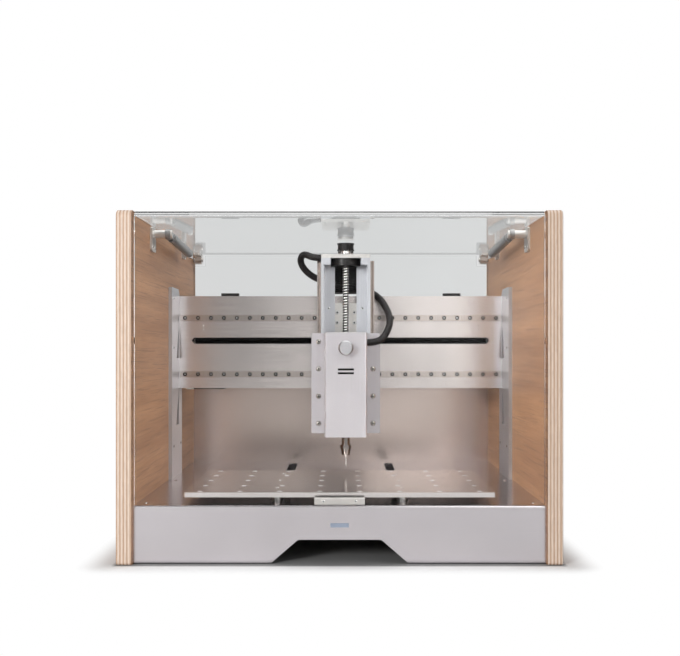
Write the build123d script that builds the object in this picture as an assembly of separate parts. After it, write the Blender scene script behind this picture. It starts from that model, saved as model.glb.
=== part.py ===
"""Desktop milling machine: plywood cheeks, folded steel base, moving bed, gantry and a clear lift-up hood.

Millimetres, +Z up, +X to the right, front of the machine towards -Y.
The origin is on the floor, midway between the plywood cheeks and midway along their depth.
"""
from build123d import *
import math
import os

# Plywood cheeks, which set the overall box
inside_width = 510.0
panel_thickness = 19.0
panel_height = 436.0
panel_depth = 500.0
panel_top_corner_radius = 8.0
panel_foot_corner_radius = 4.0
panel_edge_round = 2.0

# Folded steel base tray under the work space
sheet = 2.0
apron_recess = 9.0
tray_foot_gap = 1.5
deck_height = 72.0
tray_back_inset = 4.0
cutout_foot_width = 171.0
cutout_top_width = 102.5
cutout_top_height = 30.0
cutout_corner_radius = 5.0
light_width = 22.7
light_height = 5.2
light_centre_height = 47.8
light_length = 5.0
light_proud = 0.4
deck_slot_width = 14.0
deck_slot_lead = 12.0
deck_slot_tail = 51.0

# Rear wall, clips and clear rear window
rear_wall_inset = 16.0
rear_wall_drop = 81.0
rear_lip = 10.0
clear_sheet = 5.0
clip_width = 30.0
clip_spread = 384.0
clip_wall = 2.0
clip_leg = 4.0
clip_drop = 5.0
clip_rise = 8.0
rear_window_gap = 3.0

# Uprights and gantry beam
upright_thickness = 5.0
upright_lead = 62.0
upright_depth = 86.0
upright_rise = 10.0
upright_corner_cut = 30.0
upper_hole_rise_from_beam = 46.5
upper_hole_rise = 52.0
upper_hole_reach = 20.0
lower_hole_drop_from_beam = 55.5
lower_hole_rise = 56.0
lower_hole_reach = 22.0
beam_front = 310.0
beam_thickness = 20.0
beam_height = 142.5
beam_slot_height = 10.0
beam_slot_margin = 20.0

# Miniature rails and their runner blocks, one size throughout
rail_width = 9.0
rail_height = 6.5
rail_groove = 1.4
rail_hole_pitch = 20.0
rail_hole_diameter = 3.5
rail_counterbore_diameter = 6.0
rail_counterbore_depth = 3.5
runner_height = 10.0
runner_width = 20.0
runner_gap = 2.0
runner_long = 40.0
runner_short = 29.0
slide_clearance = 0.12
axial_gap = 0.4

# Ball screws, bearings and motors, one size throughout
screw_diameter = 10.0
journal_diameter = 8.0
running_clearance = 0.05
nut_diameter = 18.0
motor_square = 42.3
motor_length = 48.0
motor_corner_cut = 4.5
motor_cap = 10.0
motor_cap_step = 0.4
motor_pilot_diameter = 22.0
motor_pilot_height = 2.0
motor_shaft_diameter = 5.0
motor_shaft_depth = 16.0
pulley_tooth_diameter = 20.0
pulley_flange_diameter = 26.0
pulley_flange = 1.6
pulley_width = 11.0
pulley_groove_clearance = 0.4
belt_thickness = 1.5
belt_clearance = 0.3
belt_centres = 55.0

# Left to right axis
x_rest = 8.0
x_rail_end_gap = 2.5
lower_rail_rise = 21.5
upper_rail_drop = 34.0
x_runner_pitch = 42.0
x_plate_width = 84.0
x_plate_thickness = 10.0
x_plate_foot_margin = 6.5
x_plate_head_margin = 12.0
x_plate_corner = 4.0
x_screw_rise = 73.5
x_screw_behind = 26.0
x_bearing_thickness = 10.0
x_bearing_width = 30.0
x_bearing_inset = 8.0
x_neck_height = 8.6
x_neck_length = 60.0
x_nut_length = 40.0
x_nut_block = 28.0

# Bed and front to back axis
bed_width = 390.0
bed_depth = 220.0
bed_thickness = 6.0
bed_top = 87.0
bed_front = 18.0
bed_corner_radius = 5.0
bed_hole_pitch = 50.0
bed_hole_columns = 8
bed_hole_rows = 5
bed_hole_diameter = 5.0
post_diameter = 12.0
post_pitch = 70.0
post_screw_diameter = 9.5
post_screw_recess = 0.4
y_rail_spread = 160.0
y_rail_margin = 6.0
y_bar_width = 24.0
y_bar_thickness = 6.0
y_bar_overhang = 6.0
y_member_depth = 16.0
y_member_thickness = 12.0
y_member_bottom = 28.0
y_runner_pitch = 110.0
y_saddle_thickness = 6.0
y_saddle_margin = 6.0
y_bearing_height = 15.0
y_bearing_width = 30.0
y_bearing_axis_rise = 7.0
y_nut_length = 40.0
y_nut_block_width = 30.0
coupling_diameter = 19.0
coupling_length = 22.0
coupling_gap = 3.0
y_motor_length = 44.0
y_motor_end_gap = 5.0
y_motor_plate = 4.0
y_motor_plate_width = 56.0

# Up and down axis on the carriage
z_frame_width = 73.0
z_frame_depth = 40.0
z_frame_wall = 4.0
z_frame_height = 195.5
z_motor_beam_gap = 5.5
z_top_plate_thickness = 5.5
z_top_plate_margin = 3.85
z_window_width = 33.0
z_window_foot_margin = 24.0
z_window_head_margin = 8.0
z_corner_block = 10.0
z_screw_inset = 22.0
z_bearing_diameter = 44.0
z_bearing_height = 11.0
z_collar_diameter = 16.0
z_headroom = 6.0
z_collar_height = 7.0
z_foot_plate_thickness = 8.0
z_rail_end_gap = 3.0
cheek_thickness = 4.0
cheek_back_margin = 1.0
cheek_foot_depth = 14.0
cheek_foot_rise = 60.0
slide_rise = 55.0
slide_height = 147.0
z_runner_pitch = 33.0
z_runner_drop = 16.5
slide_frame_gap = 7.0
spindle_plate_thickness = 6.0
z_nut_block_height = 34.0
z_nut_block_width = 30.0
z_nut_drop = 30.0

# Spindle, its cover and the speed knob
cover_sheet = 1.5
cover_width = 59.5
cover_depth = 72.0
cover_bend_radius = 3.0
cover_screw_spread = 80.0
cover_screw_pitch = 40.0
cover_screw_top_drop = 12.5
cover_screw_count = 4
button_head_diameter = 7.6
button_head_height = 2.2
button_crown_diameter = 5.4
vent_width = 22.4
vent_height = 2.8
vent_drop = 52.0
vent_pitch = 5.3
spindle_reach = 35.0
spindle_diameter = 42.0
spindle_head_gap = 33.0
spindle_foot_gap = 6.0
spindle_edge = 1.0
clamp_width = 52.0
clamp_overlap = 12.0
clamp_rise = 16.0
clamp_height = 56.0
nose_diameter = 11.5
nose_length = 14.0
arbor_diameter = 8.0
arbor_length = 60.0
collet_diameter = 16.0
collet_tip_diameter = 12.0
collet_height = 14.0
collet_flat_height = 6.0
collet_taper_top = 13.5
tool_diameter = 3.175
tool_length = 15.6
knob_diameter = 20.5
knob_drop = 22.0
knob_length = 13.0
knob_gap = 0.6
knob_edge = 1.5
knob_stem_diameter = 6.0
knob_stem_length = 8.0

# Clear hood, its handle, hinge and stays
hood_side_gap = 1.5
hood_foot_gap = 1.5
hood_back_overhang = 8.0
hood_bend_radius = 10.0
handle_width = 62.0
handle_height = 8.7
handle_thickness = 4.0
handle_edge = 1.0
hinge_inset = 16.0
hinge_drop = 10.0
hinge_pin_diameter = 7.0
hinge_pin_reach = 16.0
hinge_pin_seat = 10.0
ear_width = 11.0
ear_length = 30.0
ear_wall = 4.0
stay_offset = 22.0
stay_wall_depth = 126.0
stay_wall_drop = 10.0
stay_lid_depth = 310.0
stay_lid_drop = 18.5
stay_bracket_thickness = 3.0
stay_bracket_width = 26.0
stay_bracket_height = 33.0
stay_bracket_gap = 1.0
stay_stud_diameter = 7.0
stay_stud_head = 11.0
stay_stud_head_height = 2.5
stay_eye_diameter = 14.0
stay_eye_thickness = 6.0
stay_face_gap = 0.3
stay_barrel_diameter = 13.0
stay_barrel_start = 25.0
stay_rod_showing = 12.0
stay_neck_diameter = 8.0
stay_rod_diameter = 5.0
stay_rod_tail = 30.0
lid_lug_width = 16.0
lid_lug_thickness = 5.0
lid_boss_diameter = 9.0
lid_boss_length = 4.0
lid_foot_width = 8.0

# Supply, controller and inlet in the base
supply_wall_gap = 20.0
supply_saddle_gap = 19.0
supply_depth = 160.0
supply_height = 34.0
supply_member_gap = 59.0
board_depth = 100.0
board_thickness = 1.6
board_standoff = 10.0
board_standoff_diameter = 8.0
board_inset = 8.0
inlet_width = 48.0
inlet_height = 28.0
inlet_body_width = 28.0
inlet_body_height = 20.0
inlet_flange = 2.0
inlet_body_depth = 16.0
inlet_centre_height = 40.0
inlet_socket_margin = 3.0
inlet_socket_depth = 12.0

# Spindle cable, clipped to the cover at one end and to the top of the carriage at the other
cable_diameter = 10.0
cable_bend_share = 0.45

# One overrun serves every through cut
overrun = 1.0

# Places worked out from the sizes above: depths count back from the cheeks' front, heights from the floor
half_inside = inside_width / 2
half_beam = half_inside - upright_thickness
beam_slot_length = 2 * (half_beam - beam_slot_margin)
x_rail_length = 2 * (half_beam - x_rail_end_gap)
hood_ceiling = panel_height - clear_sheet
tray_back = panel_depth - tray_back_inset
deck_underside = deck_height - sheet
rear_wall_depth = panel_depth - rear_wall_inset
rear_wall_top = panel_height - rear_wall_drop
rear_window_top = hood_ceiling - rear_window_gap
z_pulley_bottom = hood_ceiling - z_headroom - pulley_width
z_top_plate_top = z_pulley_bottom - z_collar_height
z_top_plate_bottom = z_top_plate_top - z_top_plate_thickness
z_bearing_bottom = z_top_plate_bottom - z_bearing_height
z_frame_bottom = z_top_plate_bottom - z_frame_height
z_foot_top = z_frame_bottom + z_foot_plate_thickness
beam_top = z_top_plate_bottom - motor_length - z_motor_beam_gap
beam_bottom = beam_top - beam_height
beam_back = beam_front + beam_thickness
upright_front = beam_front - upright_lead
upright_top = beam_top + upright_rise
lower_rail_height = beam_bottom + lower_rail_rise
upper_rail_height = beam_top - upper_rail_drop
x_plate_front = beam_front - runner_height - x_plate_thickness
x_plate_bottom = beam_bottom + x_plate_foot_margin
x_plate_top = beam_top - x_plate_head_margin
x_screw_height = beam_bottom + x_screw_rise
x_screw_depth = beam_back + x_screw_behind
x_bearing_outer = half_beam - x_bearing_inset
x_bearing_inner = x_bearing_outer - x_bearing_thickness
x_motor_height = x_screw_height - belt_centres
bed_bottom = bed_top - bed_thickness
bed_middle = bed_front + bed_depth / 2
post_reach = post_pitch + post_diameter / 2
y_runner_reach = y_runner_pitch / 2 + runner_long / 2
y_motor_front = tray_back - y_motor_end_gap - y_motor_length
y_motor_plate_front = y_motor_front - y_motor_plate
y_coupling_front = y_motor_plate_front - coupling_gap - coupling_length
y_bar_back = y_coupling_front - coupling_gap
y_rail_front = bed_middle - y_runner_reach - y_rail_margin
y_rail_length = y_bar_back - y_bar_overhang - y_rail_front
y_bar_front = y_rail_front - y_bar_overhang
y_travel = y_rail_length - 2 * y_runner_reach - 2 * y_rail_margin
deck_slot_start = bed_middle - post_reach - deck_slot_lead
deck_slot_end = bed_middle + post_reach + y_travel + deck_slot_tail
y_member_top = y_member_bottom + y_member_thickness
y_bar_top = y_member_top + y_bar_thickness
y_saddle_bottom = y_bar_top + runner_height
y_saddle_top = y_saddle_bottom + y_saddle_thickness
y_saddle_half = y_rail_spread / 2 + runner_width / 2 + y_saddle_margin
y_screw_height = y_member_top + y_bearing_axis_rise
supply_inner = y_saddle_half + supply_saddle_gap
supply_outer = half_inside - supply_wall_gap
supply_width = supply_outer - supply_inner
supply_front = y_bar_back - y_member_depth - supply_member_gap - supply_depth
supply_centre = (supply_inner + supply_outer) / 2
board_width = supply_width
z_frame_back = x_plate_front
z_frame_front = z_frame_back - z_frame_depth
z_frame_half = z_frame_width / 2
z_rail_depth = (z_frame_front + z_frame_back) / 2
z_screw_depth = z_frame_front + z_screw_inset
z_motor_depth = z_screw_depth + belt_centres
z_top_plate_back = z_motor_depth + motor_square / 2 + z_top_plate_margin
cheek_inner = z_frame_half + runner_height
cheek_outer = cheek_inner + cheek_thickness
slide_bottom = bed_top + slide_rise
slide_top = slide_bottom + slide_height
spindle_plate_back = z_frame_front - slide_frame_gap
spindle_plate_front = spindle_plate_back - spindle_plate_thickness
z_nut_top = slide_top - z_nut_drop
cover_flange_front = spindle_plate_front - cover_sheet
cover_front = spindle_plate_front - cover_depth
vent_upper_height = slide_top - vent_drop
vent_lower_height = vent_upper_height - vent_pitch
knob_height = slide_top - knob_drop
spindle_depth = spindle_plate_front - spindle_reach
spindle_bottom = slide_bottom + spindle_foot_gap
spindle_top = slide_top - spindle_head_gap
clamp_front = spindle_depth - clamp_overlap
clamp_bottom = slide_bottom + clamp_rise
clamp_top = clamp_bottom + clamp_height
nose_bottom = slide_bottom - nose_length
collet_bottom = nose_bottom - collet_height
tool_tip = collet_bottom - tool_length
hood_half = half_inside - hood_side_gap
hood_bottom = deck_height + hood_foot_gap
hinge_depth = panel_depth - hinge_inset
hinge_height = hood_ceiling - hinge_drop
hood_back = hinge_depth + hood_back_overhang
stay_line = half_inside - stay_offset
stay_wall_height = hood_ceiling - stay_wall_drop
stay_lid_height = hood_ceiling - stay_lid_drop
stay_bracket_top = hood_ceiling - stay_bracket_gap
stay_bracket_bottom = stay_bracket_top - stay_bracket_height
stay_length = math.hypot(stay_lid_depth - stay_wall_depth, stay_lid_height - stay_wall_height)
stay_barrel_end = stay_length - stay_rod_showing
stay_tilt = math.degrees(math.atan2(stay_lid_height - stay_wall_height, stay_lid_depth - stay_wall_depth))
upper_hole_foot = beam_bottom + upper_hole_rise_from_beam
lower_hole_foot = beam_bottom - lower_hole_drop_from_beam
upright_holes = ((upper_hole_foot, upper_hole_rise, upper_hole_reach),
                 (lower_hole_foot, lower_hole_rise, lower_hole_reach))

# Rail section, as shares of its height
groove_shares = (0.35, 0.55, 0.75)


def behind(depth):
    """Y of a place that lies this far behind the front edges of the plywood."""
    return depth - panel_depth / 2


def block(x_low, x_high, y_low, y_high, z_low, z_high):
    """Box between three pairs of limits."""
    size = Box(x_high - x_low, y_high - y_low, z_high - z_low)
    return Pos((x_low + x_high) / 2, (y_low + y_high) / 2, (z_low + z_high) / 2) * size


def rod_up(x, y, z_low, z_high, diameter):
    """Round bar standing along Z."""
    return Pos(x, y, (z_low + z_high) / 2) * Cylinder(diameter / 2, z_high - z_low)


def rod_across(y, z, x_low, x_high, diameter):
    """Round bar lying along X."""
    return Pos((x_low + x_high) / 2, y, z) * Rot(0, 90, 0) * Cylinder(diameter / 2, x_high - x_low)


def rod_back(x, z, y_low, y_high, diameter):
    """Round bar lying along Y."""
    return Pos(x, (y_low + y_high) / 2, z) * Rot(90, 0, 0) * Cylinder(diameter / 2, y_high - y_low)


def side_section(points, half_width):
    """Outline drawn from the side, as depth and height, drawn out to both sides by half its width."""
    outline = make_face(Polyline([(behind(depth), height) for depth, height in points], close=True))
    return extrude(Plane.YZ * outline, half_width, both=True)


def both_sides(shape):
    """A piece and its mirror image on the other side of the machine."""
    return Part() + [shape, mirror(shape, about=Plane.YZ)]


def rail_section():
    """Rail end view: flat foot at zero, a ball groove along each flank."""
    half = rail_width / 2
    waist = half - rail_groove
    low, middle, high = [share * rail_height for share in groove_shares]
    right = [(half, 0), (half, low), (waist, middle), (half, high), (half, rail_height)]
    left = [(-across, up) for across, up in reversed(right)]
    return make_face(Polyline(right + left, close=True))


def rail(foot, along, up, length):
    """Rail about its middle, standing on a foot point, with counterbored screw holes."""
    spaces = int((length - rail_width) / rail_hole_pitch)
    bar = along_rail(rail_section(), foot, along, up, length)
    for step in range(spaces + 1):
        spot = Vector(foot) + Vector(along) * (step - spaces / 2) * rail_hole_pitch
        seat = Plane(origin=spot, z_dir=up)
        bar -= seat * rod_up(0, 0, -overrun, rail_height + overrun, rail_hole_diameter)
        bar -= seat * rod_up(0, 0, rail_height - rail_counterbore_depth, rail_height + overrun,
                             rail_counterbore_diameter)
    return bar


def runner_section():
    """Runner block end view: a saddle over the rail with a small gap all round."""
    outer = Pos(0, (runner_gap + runner_height) / 2) * Rectangle(runner_width, runner_height - runner_gap)
    channel_top = rail_height + slide_clearance
    channel_width = rail_width + 2 * slide_clearance
    channel = Pos(0, channel_top / 2) * Rectangle(channel_width, channel_top)
    return outer - channel


def along_rail(section, foot, along, up, length):
    """Draw out a rail or runner section about its middle, standing on a foot point."""
    plane = Plane(origin=foot, x_dir=Vector(up).cross(Vector(along)), z_dir=Vector(along))
    return extrude(plane * section, length / 2, both=True)


def motor(length):
    """Square stepper motor: face at zero, body below it, pilot ring above, bored for its shaft."""
    outline = chamfer(Rectangle(motor_square, motor_square).vertices(), motor_corner_cut)
    body = extrude(outline, -length)
    slim = motor_square - 2 * motor_cap_step
    band = Rectangle(motor_square + overrun, motor_square + overrun)
    band -= chamfer(Rectangle(slim, slim).vertices(), motor_corner_cut)
    body -= Pos(0, 0, motor_cap - length) * extrude(band, length - 2 * motor_cap)
    body += Pos(0, 0, motor_pilot_height / 2) * Cylinder(motor_pilot_diameter / 2, motor_pilot_height)
    bore = motor_shaft_diameter + 2 * running_clearance
    return body - rod_up(0, 0, -motor_shaft_depth, motor_pilot_height + overrun, bore)


def pulley(bore):
    """Flanged toothed pulley, from zero upwards."""
    profile = rod_up(0, 0, 0, pulley_width, pulley_tooth_diameter)
    profile += rod_up(0, 0, 0, pulley_flange, pulley_flange_diameter)
    profile += rod_up(0, 0, pulley_width - pulley_flange, pulley_width, pulley_flange_diameter)
    if bore > 0:
        profile -= rod_up(0, 0, -overrun, pulley_width + overrun, bore)
    return profile


def motor_pulley(shaft_reach):
    """Pulley from zero upwards with the motor shaft below it."""
    return pulley(0) + rod_up(0, 0, -shaft_reach, 0, motor_shaft_diameter)


def belt():
    """Closed belt round two pulleys, the first at the origin and the second along local X."""
    inner = pulley_tooth_diameter + 2 * belt_clearance
    outer = inner + 2 * belt_thickness
    loop = SlotCenterToCenter(belt_centres, outer) - SlotCenterToCenter(belt_centres, inner)
    width = pulley_width - 2 * pulley_flange - 2 * pulley_groove_clearance
    return Pos(belt_centres / 2, 0, (pulley_width - width) / 2) * extrude(loop, width)


def side_panel():
    """Right plywood cheek, rounded at its corners and along its outer edges, with the hinge pin hole."""
    outline = Pos(0, panel_height / 2) * Rectangle(panel_depth, panel_height)
    upper = outline.vertices().group_by(Axis.Y)[-1]
    outline = fillet(upper, panel_top_corner_radius)
    lower = outline.vertices().group_by(Axis.Y)[0]
    outline = fillet(lower, panel_foot_corner_radius)
    panel = Pos(half_inside, 0, 0) * extrude(Plane.YZ * outline, panel_thickness)
    panel = fillet(panel.faces().sort_by(Axis.X)[-1].edges(), panel_edge_round)
    bore = hinge_pin_diameter + 2 * running_clearance
    reach = half_inside + hinge_pin_seat
    return panel - rod_across(behind(hinge_depth), hinge_height, half_inside - overrun, reach, bore)


def apron_cutout():
    """Wide notch with sloping ends along the foot of the apron."""
    half_foot = cutout_foot_width / 2
    half_top = cutout_top_width / 2
    foot = tray_foot_gap - overrun
    points = [(-half_foot, foot), (half_foot, foot),
              (half_top, cutout_top_height), (-half_top, cutout_top_height)]
    outline = make_face(Polyline(points, close=True))
    outline = fillet(outline.vertices().group_by(Axis.Y)[-1], cutout_corner_radius)
    apron = behind(apron_recess)
    return Pos(0, apron, 0) * extrude(Plane.XZ * outline, sheet + overrun, both=True)


def base_tray():
    """Folded tray: apron, deck, sides and back, open underneath."""
    front = behind(apron_recess)
    back = behind(tray_back)
    tray = block(-half_inside, half_inside, front, back, tray_foot_gap, deck_height)
    tray = fillet(tray.edges().filter_by(Axis.X).group_by(Axis.Z)[-1], sheet)
    inner = half_inside - sheet
    tray -= block(-inner, inner, front + sheet, back - sheet, 0, deck_underside)
    tray -= apron_cutout()
    half_light = light_width / 2
    light_low = light_centre_height - light_height / 2
    light_high = light_centre_height + light_height / 2
    tray -= block(-half_light, half_light, front - overrun, front + sheet + overrun, light_low, light_high)
    slot = SlotOverall(deck_slot_end - deck_slot_start, deck_slot_width, rotation=90)
    slot_middle = behind((deck_slot_start + deck_slot_end) / 2)
    slot_cut = extrude(slot, sheet + overrun, both=True)
    for side in (-1, 1):
        tray -= Pos(side * y_rail_spread / 2, slot_middle, deck_height) * slot_cut
    half_inlet = inlet_body_width / 2
    half_rise = inlet_body_height / 2
    tray -= block(supply_centre - half_inlet, supply_centre + half_inlet,
                  back - sheet - overrun, back + overrun,
                  inlet_centre_height - half_rise, inlet_centre_height + half_rise)
    return tray


def status_light():
    """Light bar set through the apron."""
    front = behind(apron_recess) - light_proud
    half = light_width / 2
    low = light_centre_height - light_height / 2
    high = light_centre_height + light_height / 2
    return block(-half, half, front, front + light_length, low, high)


def rear_wall():
    """Folded wall standing on the deck, with a foot and a top lip turned to the back."""
    face = rear_wall_depth
    back = face + rear_lip
    points = [(face, deck_height), (back, deck_height), (back, deck_height + sheet),
              (face + sheet, deck_height + sheet),
              (face + sheet, rear_wall_top - sheet), (back, rear_wall_top - sheet), (back, rear_wall_top),
              (face, rear_wall_top)]
    return side_section(points, half_inside)


def rear_window():
    """Clear sheet standing in the clips, notched at the top corners for the hood hinges."""
    low = rear_wall_top + clip_wall
    front = behind(rear_wall_depth)
    window = block(-half_inside, half_inside, front, front + clear_sheet, low, rear_window_top)
    notch_side = half_inside - hinge_pin_reach - ear_wall
    notch_low = hinge_height - hinge_pin_diameter - ear_wall
    notch = block(notch_side, half_inside + overrun, front - overrun, front + clear_sheet + overrun,
                  notch_low, rear_window_top + overrun)
    return window - both_sides(notch)


def rear_window_clips():
    """Pair of clips on the wall lip that hold the foot of the clear sheet."""
    face = rear_wall_depth
    back = face + clear_sheet
    low = rear_wall_top - clip_drop
    high = rear_wall_top + clip_rise
    web = rear_wall_top + clip_wall
    points = [(face - clip_leg, low), (face, low), (face, rear_wall_top), (back + clip_leg, rear_wall_top),
              (back + clip_leg, high), (back, high), (back, web), (face, web), (face, high),
              (face - clip_leg, high)]
    return both_sides(Pos(clip_spread / 2, 0, 0) * side_section(points, clip_width / 2))


def upright():
    """Right gantry upright: a plate on the cheek with a cut rear corner and two three-cornered holes."""
    back = upright_front + upright_depth
    points = [(upright_front, deck_height), (back, deck_height), (back, upright_top - upright_corner_cut),
              (back - upright_corner_cut, upright_top), (upright_front, upright_top)]
    plate = Pos(half_beam + upright_thickness / 2, 0, 0) * side_section(points, upright_thickness / 2)
    for foot, rise, reach in upright_holes:
        corner = beam_front - rail_height / 2
        triangle = [(corner, foot), (corner, foot + rise), (corner - reach, foot)]
        plate -= Pos(half_inside, 0, 0) * side_section(triangle, upright_thickness + overrun)
    return plate


def gantry_beam():
    """Flat beam between the uprights with the long slot for the nut bracket."""
    beam = block(-half_beam, half_beam, behind(beam_front), behind(beam_back), beam_bottom, beam_top)
    slot = Pos(0, x_screw_height) * SlotOverall(beam_slot_length, beam_slot_height)
    middle = behind((beam_front + beam_back) / 2)
    return beam - Pos(0, middle, 0) * extrude(Plane.XZ * slot, beam_thickness, both=True)


def x_rail(height):
    """Rail along the front of the beam."""
    return rail((0, behind(beam_front), height), (1, 0, 0), (0, -1, 0), x_rail_length)


def x_motor_bracket():
    """Left bearing plate behind the beam, which also carries the motor below the screw."""
    low = x_motor_height - motor_square / 2
    high = x_screw_height + x_bearing_width / 2
    back = x_screw_depth + motor_square / 2
    points = [(beam_back, low), (back, low), (back, x_motor_height + motor_square / 2),
              (x_screw_depth + x_bearing_width / 2, high), (beam_back, high)]
    middle = -(x_bearing_inner + x_bearing_outer) / 2
    plate = Pos(middle, 0, 0) * side_section(points, x_bearing_thickness / 2)
    y = behind(x_screw_depth)
    left = -x_bearing_outer - overrun
    right = -x_bearing_inner + overrun
    plate -= rod_across(y, x_screw_height, left, right, journal_diameter + 2 * running_clearance)
    return plate - rod_across(y, x_motor_height, left, right, motor_pilot_diameter + 2 * running_clearance)


def x_end_bearing():
    """Right bearing block of the cross screw, on the back of the beam."""
    half = x_bearing_width / 2
    bearing = block(x_bearing_inner, x_bearing_outer, behind(beam_back), behind(x_screw_depth + half),
                    x_screw_height - half, x_screw_height + half)
    bore = journal_diameter + 2 * running_clearance
    return bearing - rod_across(behind(x_screw_depth), x_screw_height, x_bearing_inner - overrun,
                                x_bearing_outer + overrun, bore)


def x_drive_place(height):
    """Left face of the bearing plate, with local Z pointing left, at a given height."""
    return Pos(-x_bearing_outer - axial_gap, behind(x_screw_depth), height) * Rot(0, -90, 0)


def x_motor():
    """Motor on the inner side of the left bearing plate."""
    place = Pos(-x_bearing_inner, behind(x_screw_depth), x_motor_height) * Rot(0, -90, 0)
    return place * motor(motor_length)


def x_motor_pulley():
    """Small pulley and shaft of the cross motor."""
    reach = x_bearing_thickness + axial_gap + motor_shaft_depth - axial_gap
    return x_drive_place(x_motor_height) * motor_pulley(reach)


def x_belt():
    """Belt from the motor up to the cross screw."""
    return x_drive_place(x_motor_height) * belt()


def x_screw_pulley():
    """Pulley on the left end of the cross screw."""
    return x_drive_place(x_screw_height) * pulley(0)


def x_ball_screw():
    """Cross screw with turned-down ends in its two bearings."""
    y = behind(x_screw_depth)
    thread_end = x_bearing_inner - axial_gap
    screw = rod_across(y, x_screw_height, -thread_end, thread_end, screw_diameter)
    left = -x_bearing_outer - axial_gap - pulley_width
    return screw + rod_across(y, x_screw_height, left, x_bearing_outer, journal_diameter)


def y_cross_members():
    """Two bars under the deck, from side to side of the tray."""
    reach = half_inside - sheet
    front = behind(y_bar_front)
    back = behind(y_bar_back)
    return Part() + [block(-reach, reach, front, front + y_member_depth, y_member_bottom, y_member_top),
                     block(-reach, reach, back - y_member_depth, back, y_member_bottom, y_member_top)]


def y_rail_bars():
    """Bars on the cross members, one under each bed rail."""
    middle = y_rail_spread / 2
    half = y_bar_width / 2
    return both_sides(block(middle - half, middle + half, behind(y_bar_front), behind(y_bar_back),
                            y_member_top, y_bar_top))


def y_rails():
    """Pair of rails under the deck slots."""
    middle = behind(y_rail_front + y_rail_length / 2)
    foot = (y_rail_spread / 2, middle, y_bar_top)
    return both_sides(rail(foot, (0, 1, 0), (0, 0, 1), y_rail_length))


def y_screw_bearings():
    """Bearing blocks of the bed screw on the two cross members."""
    half = y_bearing_width / 2
    high = y_member_top + y_bearing_height
    bore = journal_diameter + 2 * running_clearance
    blocks = Part()
    for front in (behind(y_bar_front), behind(y_bar_back) - y_member_depth):
        bearing = block(-half, half, front, front + y_member_depth, y_member_top, high)
        blocks += bearing - rod_back(0, y_screw_height, front - overrun,
                                     front + y_member_depth + overrun, bore)
    return blocks


def y_motor_bracket():
    """Plate that hangs the bed motor from the underside of the deck."""
    half = y_motor_plate_width / 2
    front = behind(y_motor_plate_front)
    back = behind(y_motor_front)
    plate = block(-half, half, front, back, y_screw_height - motor_square / 2, deck_underside)
    bore = motor_pilot_diameter + 2 * running_clearance
    return plate - rod_back(0, y_screw_height, front - overrun, back + overrun, bore)


def y_motor():
    """Bed motor, with its face to the front."""
    return Pos(0, behind(y_motor_front), y_screw_height) * Rot(90, 0, 0) * motor(y_motor_length)


def y_ball_screw():
    """Bed screw with turned-down ends, the back one reaching into the coupling."""
    start = behind(y_bar_front)
    front_seat = start + y_member_depth + axial_gap
    back_seat = behind(y_bar_back) - y_member_depth - axial_gap
    screw = rod_back(0, y_screw_height, front_seat, back_seat, screw_diameter)
    end = behind(y_coupling_front) + coupling_length / 2
    return screw + rod_back(0, y_screw_height, start, end, journal_diameter)


def y_coupling():
    """Shaft coupling between bed screw and motor, with the motor shaft behind it."""
    front = behind(y_coupling_front)
    back = front + coupling_length
    body = rod_back(0, y_screw_height, front, back, coupling_diameter)
    shaft_end = behind(y_motor_front) + motor_shaft_depth - axial_gap
    return body + rod_back(0, y_screw_height, back, shaft_end, motor_shaft_diameter)


def post_places():
    """Six places, three a side, where the bed is screwed to its posts."""
    return [(side * y_rail_spread / 2, behind(bed_middle + step * post_pitch))
            for side in (-1, 1) for step in (-1, 0, 1)]


def clear_of_screws(spot):
    """True where a grid hole does not run into a screw seat."""
    reach = (bed_hole_diameter + post_screw_diameter) / 2
    return all(abs(spot.X - x) > reach or abs(spot.Y - y) > reach for x, y in post_places())


def bed_plate():
    """Bed with rounded corners, a square grid of threaded holes and six screw seats."""
    middle = behind(bed_middle)
    outline = Rectangle(bed_width, bed_depth)
    outline = fillet(outline.vertices(), bed_corner_radius)
    plate = Pos(0, middle, bed_bottom) * extrude(outline, bed_thickness)
    grid = GridLocations(bed_hole_pitch, bed_hole_pitch, bed_hole_columns, bed_hole_rows)
    places = [Pos(0, middle, bed_bottom + bed_thickness / 2) * place for place in grid]
    holes = [place * Cylinder(bed_hole_diameter / 2, bed_thickness + overrun)
             for place in places if clear_of_screws(place.position)]
    seats = [rod_up(x, y, bed_bottom - overrun, bed_top + overrun, post_screw_diameter)
             for x, y in post_places()]
    return plate - holes - seats


def bed_screws():
    """Six flat-headed screws in their seats, standing on the posts."""
    return Part() + [rod_up(x, y, bed_bottom, bed_top - post_screw_recess, post_screw_diameter)
                     for x, y in post_places()]


def bed_saddle():
    """Saddle plate on the runners with six posts that rise through the deck slots."""
    half_depth = y_runner_pitch / 2 + runner_long / 2 + y_saddle_margin
    middle = behind(bed_middle)
    saddle = block(-y_saddle_half, y_saddle_half, middle - half_depth, middle + half_depth,
                   y_saddle_bottom, y_saddle_top)
    posts = [rod_up(x, y, y_saddle_top, bed_bottom, post_diameter) for x, y in post_places()]
    return saddle + posts


def bed_runners():
    """Four runner blocks under the saddle."""
    middle = behind(bed_middle)
    runners = Part()
    for side in (-1, 1):
        for end in (-1, 1):
            foot = (side * y_rail_spread / 2, middle + end * y_runner_pitch / 2, y_bar_top)
            runners += along_rail(runner_section(), foot, (0, 1, 0), (0, 0, 1), runner_long)
    return runners


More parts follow.
